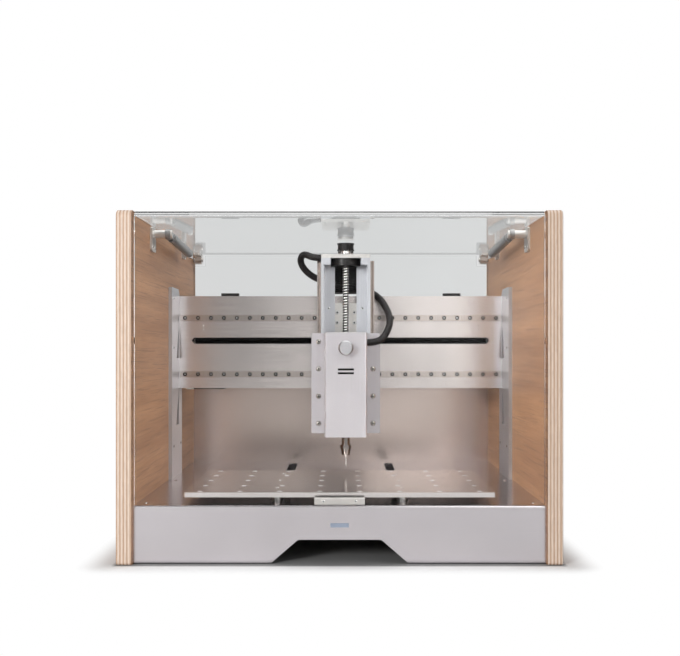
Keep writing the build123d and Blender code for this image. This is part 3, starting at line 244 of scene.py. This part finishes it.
STEEL = linear(210, 205, 208)
ALUMINIUM = linear(204, 200, 196)
ALONG_X = (14.0, 900.0, 900.0)
FINE_X = (10.0, 2200.0, 2200.0)
ALONG_Z = (900.0, 900.0, 14.0)
EVEN = (500.0, 500.0, 500.0)

sheet_x = metal("brushed_sheet_across", STEEL, FINE_X, 0.22, contrast=0.08, relief=0.02)
wall_sheet = metal("rear_sheet", linear(208, 193, 185), FINE_X, 0.24, contrast=0.05, relief=0.02)
sheet_z = metal("brushed_sheet_upright", linear(196, 191, 194), ALONG_Z, 0.17, contrast=0.08, relief=0.015,
                metallic=0.45)
beam_metal = metal("beam_aluminium", linear(206, 198, 195), ALONG_X, 0.24)
plate_metal = metal("plate_aluminium_fine", ALUMINIUM, EVEN, 0.36)
upright_metal = metal("upright_aluminium", linear(192, 192, 196), ALONG_Z, 0.33)
bed_metal = metal("bed_aluminium", linear(224, 216, 213), ALONG_X, 0.15, contrast=0.06, relief=0.03,
                  metallic=0.9)
rail_metal = metal("rail_steel", linear(188, 178, 172), ALONG_X, 0.22, contrast=0.08)
bright_steel = metal("bright_steel", linear(225, 224, 222), EVEN, 0.18, contrast=0.05)
nose_steel = metal("nose_steel", linear(150, 142, 138), EVEN, 0.16, contrast=0.2)
knob_satin = metal("knob_satin", linear(180, 178, 180), EVEN, 0.34)
grey_steel = metal("grey_steel", linear(150, 149, 148), EVEN, 0.35)
screw_steel = metal("screw_steel", linear(180, 176, 170), EVEN, 0.22, contrast=0.06)
runner_metal = metal("runner_steel", linear(205, 203, 200), EVEN, 0.28)
# Near-black: the bearing housing and pulleys are black; the same colour is painted shade in screw sockets,
# thread grooves and cutter flutes.
painted_recess_shade_and_oxide_black = coated("oxide_black_and_painted_recess_shade", linear(34, 32, 32), 0.42, metallic=0.6)
# Pale matte colour for the bed's hole chamfers: a painted highlight.
painted_chamfer_highlight = coated("painted_chamfer_highlight", linear(212, 208, 206), 0.35, contrast=0.03)
# Near-black matte: the black heads of the rail screws, and on the x ball screw painted shade where it shows
# through the beam's slot.
black_screw_and_painted_slot_shade = coated("painted_slot_shade_and_black_screw_finish", linear(10, 9, 9), 0.85, shine=0.05)
black_plastic = coated("black_plastic", linear(26, 25, 26), 0.5)
motor_black = coated("motor_black", linear(26, 25, 25), 0.45, shine=0.15)
rubber_black = coated("rubber_black", linear(30, 27, 27), 0.55, relief=0.2, shine=0.25)
board_green = coated("board_green", linear(28, 92, 60), 0.4)
supply_metal = metal("supply_metal", linear(178, 178, 176), EVEN, 0.45)
light_blue = glowing("light_bar_glow", linear(150, 160, 178), 0.06)
clear = clear_acrylic("clear_acrylic")
ply_right = plywood("plywood_right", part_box("right_side_panel")[0][0])
ply_left = plywood("plywood_left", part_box("left_side_panel")[1][0])

FINISHES = {
    "right_side_panel": ply_right, "left_side_panel": ply_left,
    "base_tray": sheet_x, "rear_wall": wall_sheet, "spindle_cover": sheet_z,
    "status_light": light_blue, "hood": clear, "rear_window": clear,
    "rear_window_clips": black_plastic, "power_inlet": black_plastic,
    "uprights": upright_metal, "gantry_beam": beam_metal, "x_rails": rail_metal, "y_rails": rail_metal,
    "z_rails": rail_metal, "x_motor_bracket": plate_metal, "screw_bearings": plate_metal,
    "y_cross_members": plate_metal, "y_rail_bars": plate_metal, "y_motor_bracket": plate_metal,
    "bed_plate": bed_metal, "bed_saddle": plate_metal, "bed_runners": runner_metal,
    "bed_screws": bright_steel,
    "x_plate": plate_metal, "x_runners": runner_metal, "x_nut_bracket": plate_metal,
    "z_frame": upright_metal, "z_top_plate": plate_metal, "z_bearing": painted_recess_shade_and_oxide_black, "z_runners": runner_metal,
    "slide_frame": upright_metal, "spindle_clamp": plate_metal, "spindle_body": motor_black,
    "cover_screws": screw_steel, "speed_knob": knob_satin, "spindle_shaft": nose_steel,
    "collet_nut": nose_steel, "end_mill": grey_steel,
    "x_motor": motor_black, "y_motor": motor_black, "z_motor": motor_black,
    "x_belt": rubber_black, "z_belt": rubber_black, "spindle_cable": rubber_black,
    "x_motor_pulley": painted_recess_shade_and_oxide_black, "z_motor_pulley": plate_metal, "z_screw_pulley": painted_recess_shade_and_oxide_black,
    # The x ball screw takes the near-black matte as painted shade in the beam's slot.
    "x_ball_screw": black_screw_and_painted_slot_shade, "y_ball_screw": screw_steel, "z_ball_screw": screw_steel,
    "hood_handle": plate_metal, "hood_fittings": plate_metal, "hood_wall_fittings": plate_metal,
    "left_stay_cylinder": grey_steel, "right_stay_cylinder": grey_steel,
    "left_stay_rod": bright_steel, "right_stay_rod": bright_steel,
    "power_supply": supply_metal, "controller_board": board_green,
}


def paint(thing, finish):
    """Give an object one finish in every slot."""
    slots = thing.data.materials
    if len(slots) == 0:
        slots.append(finish)
    for index in range(len(slots)):
        slots[index] = finish


for node_name, finish in FINISHES.items():
    paint(NODES[node_name], finish)
for node_name in set(NODES) - set(FINISHES):
    print("no finish for", node_name)


# Small hardware in mesh code: places are in millimetres across, back from the cheeks' front edges and up

FRONT = Vector((0.0, -1.0, 0.0))
RIGHT = Vector((1.0, 0.0, 0.0))
UP = Vector((0.0, 0.0, 1.0))
HALF_DEPTH = 250.0
REST = 8.0
SIDES = 18
CREASE_ANGLE = math.radians(38.0)


def at(across, depth, height):
    """Place in metres."""
    return Vector((across, depth - HALF_DEPTH, height)) * MM


def even(radius):
    """Round cross-section."""
    return lambda angle: radius


def six_sided(half_flats):
    """Six-sided cross-section, by half its width across flats."""
    return lambda angle: half_flats / math.cos(angle % (math.pi / 3.0) - math.pi / 6.0)


def loop(sketch, place, axis, reach, sides=SIDES, turn=0.0):
    """Closed loop of points round an axis; reach gives the radius in millimetres at each angle."""
    aim = axis.to_track_quat("Z", "Y")
    points = []
    for step in range(sides):
        angle = math.tau * step / sides
        radius = reach(angle - turn) * MM
        offset = Vector((radius * math.cos(angle), radius * math.sin(angle), 0.0))
        points.append(sketch.verts.new(place + aim @ offset))
    return points


def skin(sketch, loops, finish=0, first=True, last=True):
    """Faces between loops in turn, and over the ends."""
    count = len(loops[0])
    for low, high in zip(loops, loops[1:]):
        for step in range(count):
            after = (step + 1) % count
            sketch.faces.new((low[step], low[after], high[after], high[step])).material_index = finish
    if first:
        sketch.faces.new(loops[0][::-1]).material_index = finish
    if last:
        sketch.faces.new(loops[-1]).material_index = finish


def lathe(sketch, place, axis, profile, finish=0, sides=SIDES):
    """Turned solid from (distance along, radius) steps."""
    skin(sketch, [loop(sketch, place + axis * (along * MM), axis, even(radius), sides)
                  for along, radius in profile], finish)


def twisted(sketch, place, axis, start, end, pitch, reach, per_turn, groove, sides=SIDES):
    """Bar whose cross-section turns once a pitch; faces within the groove radius take the third finish."""
    steps = max(2, round((end - start) / pitch * per_turn))
    loops = []
    for step in range(steps + 1):
        along = start + (end - start) * step / steps
        loops.append(loop(sketch, place + axis * (along * MM), axis, reach, sides, math.tau * along / pitch))
    before = set(sketch.faces)
    skin(sketch, loops)
    # Both callers give the groove faces the near-black finish, which paints shade into the grooves.
    for face in set(sketch.faces) - before:
        away = face.calc_center_median() - place
        if (away - axis * away.dot(axis)).length < groove * MM:
            face.material_index = 2


def screw(sketch, place, axis, profile, half_flats, sink):
    """Screw head turned from (height, radius) steps; its six-sided socket takes the second finish."""
    top = profile[-1][0]
    rim = loop(sketch, place + axis * (top * MM), axis, six_sided(half_flats))
    head = [loop(sketch, place + axis * (height * MM), axis, even(radius)) for height, radius in profile]
    skin(sketch, head + [rim], 0, last=False)
    # Where a caller gives the near-black finish, the socket is painted shade.
    floor = loop(sketch, place + axis * ((top - sink) * MM), axis, six_sided(half_flats))
    skin(sketch, [rim, floor], 1, first=False)


def piece(name, body, sketch, finishes):
    """Mesh object from a sketch, with crisp and smooth edges by angle, that rides on a body."""
    mesh = bpy.data.meshes.new(name)
    bmesh.ops.recalc_face_normals(sketch, faces=sketch.faces)
    sketch.to_mesh(mesh)
    sketch.free()
    mesh.shade_smooth()
    mesh.set_sharp_from_angle(angle=CREASE_ANGLE)
    for finish in finishes:
        mesh.materials.append(finish)
    made = bpy.data.objects.new(name, mesh)
    bpy.context.scene.collection.objects.link(made)
    if body:
        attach(made, body)
    return made


CAP = [(0.0, 2.9), (2.6, 2.9), (2.9, 2.65)]
BUTTON = [(0.0, 3.8), (0.7, 3.72), (1.4, 3.3), (1.9, 2.7), (2.2, 2.0)]
SMALL = [(-0.6, 2.0), (0.5, 2.0), (0.8, 1.6)]
TINY = [(-0.4, 1.3), (0.3, 1.3), (0.4, 1.1)]


BEAM_RAIL_HEIGHTS = (227.0, 314.0)
BEAM_RAIL_SEAT = 307.0
RAIL_PITCH = 20.0
LIFT_SCREW_DEPTH = 272.0
SPINDLE_DEPTH = 202.0
COVER_FLANGE = 235.5
BED_TOP = 87.0
GRID_PITCH = 50.0


def rail_screws():
    """Black cap screws in the counterbores of the beam rails, with bright steel in their sockets as a painted
    highlight.
    """
    sketch = bmesh.new()
    for height in BEAM_RAIL_HEIGHTS:
        for step in range(25):
            screw(sketch, at(-240.0 + RAIL_PITCH * step, BEAM_RAIL_SEAT, height), FRONT, CAP, 1.0, 0.5)
    piece("rail_screws", "machine", sketch, [black_screw_and_painted_slot_shade, bright_steel])
    sketch = bmesh.new()
    for side in (-1.0, 1.0):
        for step in range(10):
            place = at(REST + side * 39.5, 270.0, 213.75 + RAIL_PITCH * step)
            screw(sketch, place, RIGHT * side, CAP, 1.25, 0.5)
    piece("lift_rail_screws", "carriage", sketch, [black_screw_and_painted_slot_shade, bright_steel])


def ball_groove(angle):
    """Cross-section of a single-start ball screw."""
    return 5.0 - 1.15 * max(0.0, math.cos(angle)) ** 0.7


def lift_screw():
    """Upright ball screw with a rolled thread, plain ends and a bright collar."""
    sketch = bmesh.new()
    foot = at(REST, LIFT_SCREW_DEPTH, 0.0)
    lathe(sketch, foot, UP, [(206.0, 4.0), (214.4, 4.0)])
    twisted(sketch, foot, UP, 214.4, 390.1, 4.0, ball_groove, 12, 4.55)
    lathe(sketch, foot, UP, [(390.1, 4.0), (401.9, 4.0)])
    lathe(sketch, foot, UP, [(401.9, 6.6), (402.4, 7.2), (406.0, 7.2), (407.0, 6.3),
                             (408.5, 6.3), (409.5, 7.2), (413.5, 7.2), (414.0, 6.8)], 1)
    lathe(sketch, foot, UP, [(414.0, 4.0), (425.4, 4.0)])
    # The thread's groove faces take the near-black finish as painted shade in the groove.
    made = piece("lift_screw_thread", "z_screw", sketch, [bright_steel, bright_steel, painted_recess_shade_and_oxide_black])
    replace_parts(made, "z_ball_screw")


def cutter_section(angle):
    """Cross-section of a two-fluted cutter."""
    return 0.75 + 0.83 * abs(math.cos(angle)) ** 0.8


def cutter():
    """End mill: plain shank, two spiral flutes and a blunt tip."""
    sketch = bmesh.new()
    foot = at(REST, SPINDLE_DEPTH, 0.0)
    twisted(sketch, foot, UP, 98.4, 109.4, 8.0, cutter_section, 24, 1.05)
    lathe(sketch, foot, UP, [(109.4, 1.3), (110.2, 1.5875), (114.0, 1.5875)])
    # The flute faces take the near-black finish as painted shade in the flutes.
    made = piece("fluted_cutter", "spindle", sketch, [bright_steel, bright_steel, painted_recess_shade_and_oxide_black])
    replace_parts(made, "end_mill")


def cover_screws():
    """Button heads with sockets along the cover's flanges."""
    sketch = bmesh.new()
    for side in (-1.0, 1.0):
        for height in (276.5, 236.5, 196.5, 156.5):
            screw(sketch, at(REST + side * 40.0, COVER_FLANGE, height), FRONT, BUTTON, 1.25, 1.2)
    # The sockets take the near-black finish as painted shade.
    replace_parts(piece("button_screws", "slide", sketch, [screw_steel, painted_recess_shade_and_oxide_black]), "cover_screws")


def bed_hardware():
    """Flat screws in the bed with painted shade in their sockets, and a chamfer round each hole of the grid
    coloured pale as a painted highlight.
    """
    sketch = bmesh.new()
    places = [(side * 80.0, depth) for side in (-1.0, 1.0) for depth in (58.0, 128.0, 198.0)]
    for across, depth in places:
        screw(sketch, at(across, depth, 81.0), UP, [(0.0, 4.75), (5.4, 4.75), (5.6, 4.55)], 1.5, 2.0)
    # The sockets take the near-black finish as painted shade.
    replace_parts(piece("flat_screws", "bed", sketch, [bright_steel, painted_recess_shade_and_oxide_black]), "bed_screws")
    sketch = bmesh.new()
    for column in range(8):
        for row in range(5):
            across, depth = -175.0 + GRID_PITCH * column, 28.0 + GRID_PITCH * row
            if depth == 128.0 and abs(across) == 75.0:
                continue
            foot = at(across, depth, BED_TOP)
            rims = [loop(sketch, foot + UP * (rise * MM), UP, even(radius))
                    for rise, radius in ((0.0, 3.3), (0.12, 3.2), (-0.6, 2.5), (-0.9, 2.5))]
            skin(sketch, rims, first=False, last=False)
    # The chamfer rings take the pale colour as a painted highlight.
    piece("grid_chamfers", "bed", sketch, [painted_chamfer_highlight])


def carriage_screws():
    """Screws seen in the carriage: runner screws behind the lift screw, web screws, top plate screws."""
    sketch = bmesh.new()
    for side in (-1.0, 1.0):
        for rise in (-7.9, 7.9):
            screw(sketch, at(REST + side * 13.0, 290.0, 314.0 + rise), FRONT, CAP, 1.25, 0.8)
        for height in (328.0, 250.0):
            screw(sketch, at(REST + side * 25.5, 286.0, height), FRONT, SMALL, 0.9, 0.5)
        for depth in (256.0, 284.0):
            screw(sketch, at(REST + side * 31.0, depth, 407.0), UP, SMALL, 0.9, 0.5)
        for depth in (311.5, 342.5):
            screw(sketch, at(REST + side * 15.5, depth, 407.0), UP, SMALL, 0.9, 0.5)
    # The sockets take the near-black finish as painted shade.
    piece("carriage_screws", "carriage", sketch, [bright_steel, painted_recess_shade_and_oxide_black])


def frame_screws():
    """Screws in the uprights, stay brackets, deck and beam ends."""
    sketch = bmesh.new()
    for side in (-1.0, 1.0):
        for depth, height in ((262.0, 342.0), (262.0, 268.0), (262.0, 120.0), (322.0, 120.0)):
            screw(sketch, at(side * 250.0, depth, height), RIGHT * -side, SMALL, 0.9, 0.5)
        for depth in (118.0, 134.0):
            screw(sketch, at(side * 252.0, depth, 403.0), RIGHT * -side, SMALL, 0.9, 0.5)
        for depth in (30.0, 240.0, 470.0):
            screw(sketch, at(side * 243.0, depth, 72.0), UP, SMALL, 0.9, 0.5)
        for height in (302.0, 296.0):
            screw(sketch, at(side * 213.0, 310.0, height), FRONT, TINY, 0.6, 0.3)
    # The sockets take the near-black finish as painted shade.
    piece("frame_screws", "machine", sketch, [bright_steel, painted_recess_shade_and_oxide_black])
    sketch = bmesh.new()
    for side in (-1.0, 1.0):
        screw(sketch, at(side * 20.0, 5.0, 78.0), FRONT, [(-0.4, 1.7), (0.3, 1.7), (0.5, 1.4)], 0.7, 0.3)
    # The sockets take the near-black finish as painted shade.
    piece("handle_screws", "hood", sketch, [bright_steel, painted_recess_shade_and_oxide_black])


CABLE_RADIUS = 0.005
CABLE_ROUTE = ((29.75, 205.0, 275.0), (46.0, 205.0, 275.0), (58.0, 210.0, 286.0), (66.0, 232.0, 306.0),
               (62.0, 262.0, 326.0), (50.0, 294.0, 347.0), (30.0, 298.5, 357.0), (-6.0, 298.5, 362.0),
               (-42.0, 297.0, 372.0), (-61.0, 290.0, 384.0), (-70.0, 279.0, 399.0), (-64.0, 266.0, 410.0),
               (-49.0, 256.0, 402.0), (-36.5, 256.0, 402.0))


def cable():
    """Smooth round lead along the same points as the solid one; it bends between head and carriage."""
    curve = bpy.data.curves.new("spindle_lead", "CURVE")
    curve.dimensions = "3D"
    curve.bevel_depth = CABLE_RADIUS
    curve.bevel_resolution = 5
    curve.use_fill_caps = True
    line = curve.splines.new("NURBS")
    line.points.add(len(CABLE_ROUTE) - 1)
    for point, (across, depth, height) in zip(line.points, CABLE_ROUTE):
        point.co = (*at(REST + across, depth, height), 1.0)
    line.use_endpoint_u = True
    line.order_u = 3
    line.resolution_u = 12
    shape = bpy.data.objects.new("spindle_lead_curve", curve)
    bpy.context.scene.collection.objects.link(shape)
    bpy.context.view_layer.update()
    mesh = bpy.data.meshes.new_from_object(shape.evaluated_get(bpy.context.evaluated_depsgraph_get()))
    bpy.data.objects.remove(shape)
    mesh.name = "spindle_lead"
    mesh.shade_smooth()
    mesh.materials.clear()
    mesh.materials.append(rubber_black)
    made = bpy.data.objects.new("spindle_lead", mesh)
    bpy.context.scene.collection.objects.link(made)
    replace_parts(made, "spindle_cable")
    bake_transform(made)


rail_screws()
lift_screw()
cutter()
cover_screws()
bed_hardware()
carriage_screws()
frame_screws()
cable()


# Floor, light and camera

BEHIND_CLEAR = 0.70
HALF_WIDTH = 0.274


def backdrop():
    """White floor that keeps the shadow at the foot of the machine, is coloured darker under the footprint as
    painted shade, and reads as plain white further off.
    """
    made, tree, shader = material("studio_white")
    grain = noise(tree, stretched(tree, (3.0, 3.0, 3.0)), detail=2.0)
    colours = ramp(tree, grain, [(0.3, (0.92, 0.92, 0.92)), (0.7, (0.95, 0.95, 0.95))])
    shader.inputs["Roughness"].default_value = 0.8
    spot = add(tree, "ShaderNodeTexCoord").outputs["Object"]
    place = add(tree, "ShaderNodeSeparateXYZ", {"Vector": spot})
    squares = []
    for axis, half in (("X", HALF_WIDTH), ("Y", HALF_DEPTH * MM)):
        out = worked(tree, "ABSOLUTE", place.outputs[axis])
        out = worked(tree, "SUBTRACT", out, half)
        out = worked(tree, "MAXIMUM", out, 0.0)
        squares.append(worked(tree, "POWER", out, 2.0))
    away = worked(tree, "ADD", squares[0], squares[1])
    away = worked(tree, "POWER", away, 0.5)
    # Painted shade: the floor colour falls to 0.3 under the machine's footprint and recovers within 6 mm of
    # it.
    painted_shade_under_machine = add(tree, "ShaderNodeMapRange", {"Value": away, "From Min": 0.0, "From Max": 0.006,
                                             "To Min": 0.3, "To Max": 1.0}).outputs["Result"]
    shaded = add(tree, "ShaderNodeVectorMath", {0: colours, "Scale": painted_shade_under_machine}, operation="SCALE")
    tree.links.new(shaded.outputs["Vector"], shader.inputs["Base Color"])
    far_off = add(tree, "ShaderNodeMapRange", {"Value": away, "From Min": 0.004, "From Max": 0.05},
                  interpolation_type="SMOOTHSTEP").outputs["Result"]
    seen = worked(tree, "MULTIPLY", seen_directly(tree), far_off)
    rays = add(tree, "ShaderNodeLightPath").outputs
    level = add(tree, "ShaderNodeMix", {"Factor": rays["Is Camera Ray"], "A": BEHIND_CLEAR, "B": 1.0})
    white = add(tree, "ShaderNodeEmission",
                {"Color": (1.0, 1.0, 1.0, 1.0), "Strength": level.outputs["Result"]})
    mixed = add(tree, "ShaderNodeMixShader",
                {0: seen, 1: shader.outputs["BSDF"], 2: white.outputs["Emission"]})
    tree.links.new(mixed.outputs["Shader"], tree.nodes["Material Output"].inputs["Surface"])
    mesh = bpy.data.meshes.new("studio_floor")
    sketch = bmesh.new()
    reach, near, far = 6.0, -5.0, 5.0
    corners = [(-reach, near, 0.0), (reach, near, 0.0), (reach, far, 0.0), (-reach, far, 0.0)]
    sketch.faces.new([sketch.verts.new(corner) for corner in corners])
    sketch.to_mesh(mesh)
    sketch.free()
    floor = bpy.data.objects.new("studio_floor", mesh)
    bpy.context.scene.collection.objects.link(floor)
    mesh.materials.append(made)


def seen_directly(tree):
    """One for rays from the camera or through clear sheet, zero for light that only bounces."""
    rays = add(tree, "ShaderNodeLightPath").outputs
    return worked(tree, "MAXIMUM", rays["Is Camera Ray"], rays["Is Transmission Ray"])


def world_light(ambient, dim, bright, behind):
    """White studio: even ambient light, mirrored brighter to the right and dimmer behind clear sheet."""
    world = bpy.data.worlds.new("studio_world")
    bpy.context.scene.world = world
    world.use_nodes = True
    tree = world.node_tree
    background = tree.nodes["Background"]
    rays = add(tree, "ShaderNodeLightPath").outputs
    heading = add(tree, "ShaderNodeTexCoord").outputs["Generated"]
    way = add(tree, "ShaderNodeSeparateXYZ", {"Vector": heading})
    front = add(tree, "ShaderNodeMapRange",
                {"Value": way.outputs["X"], "From Min": 0.01, "From Max": 0.13,
                 "To Min": dim, "To Max": bright},
                interpolation_type="SMOOTHSTEP")
    back = worked(tree, "GREATER_THAN", way.outputs["Y"], 0.0)
    mirror = add(tree, "ShaderNodeMix", {"Factor": back, "A": front.outputs["Result"], "B": behind})
    either = worked(tree, "MAXIMUM", rays["Is Glossy Ray"], rays["Is Transmission Ray"])
    level = add(tree, "ShaderNodeMix", {"Factor": either, "A": ambient, "B": mirror.outputs["Result"]})
    strength = add(tree, "ShaderNodeMix",
                   {"Factor": rays["Is Camera Ray"], "A": level.outputs["Result"], "B": 1.0})
    background.inputs["Color"].default_value = (1.0, 1.0, 1.0, 1.0)
    tree.links.new(strength.outputs["Result"], background.inputs["Strength"])


def softbox(name, place, aim, size, power):
    """Square area light aimed at a point."""
    lamp = bpy.data.lights.new(name, "AREA")
    lamp.shape = "RECTANGLE"
    lamp.size, lamp.size_y = size
    lamp.energy = power
    thing = bpy.data.objects.new(name, lamp)
    thing.location = place
    thing.rotation_euler = (Vector(aim) - Vector(place)).to_track_quat("-Z", "Y").to_euler()
    bpy.context.scene.collection.objects.link(thing)


def camera():
    """Level camera in front, at the photograph's distance and framing."""
    lens = bpy.data.cameras.new("photo_camera")
    lens.sensor_width = 36.0
    lens.lens = 50.0
    lens.shift_x = -4.0 / 680.0
    lens.shift_y = 24.0 / 680.0
    thing = bpy.data.objects.new("photo_camera", lens)
    thing.location = (0.0054, -1.405, 0.2614)
    thing.rotation_euler = (math.radians(90.0), 0.0, 0.0)
    bpy.context.scene.collection.objects.link(thing)
    bpy.context.scene.camera = thing


bpy.context.scene.view_settings.view_transform = "Standard"
backdrop()
world_light(0.25, 0.36, 2.1, BEHIND_CLEAR)
softbox("key_softbox", (-1.30, -2.10, 0.80), (0.0, 0.0, 0.25), (0.5, 0.5), 30.0)
softbox("fill_softbox", (1.8, -1.3, 1.1), (-0.25, -0.1, 0.25), (1.0, 1.0), 4.0)
softbox("top_softbox", (0.0, 0.0, 2.0), (0.0, 0.0, 0.2), (1.4, 1.4), 12.0)
camera()
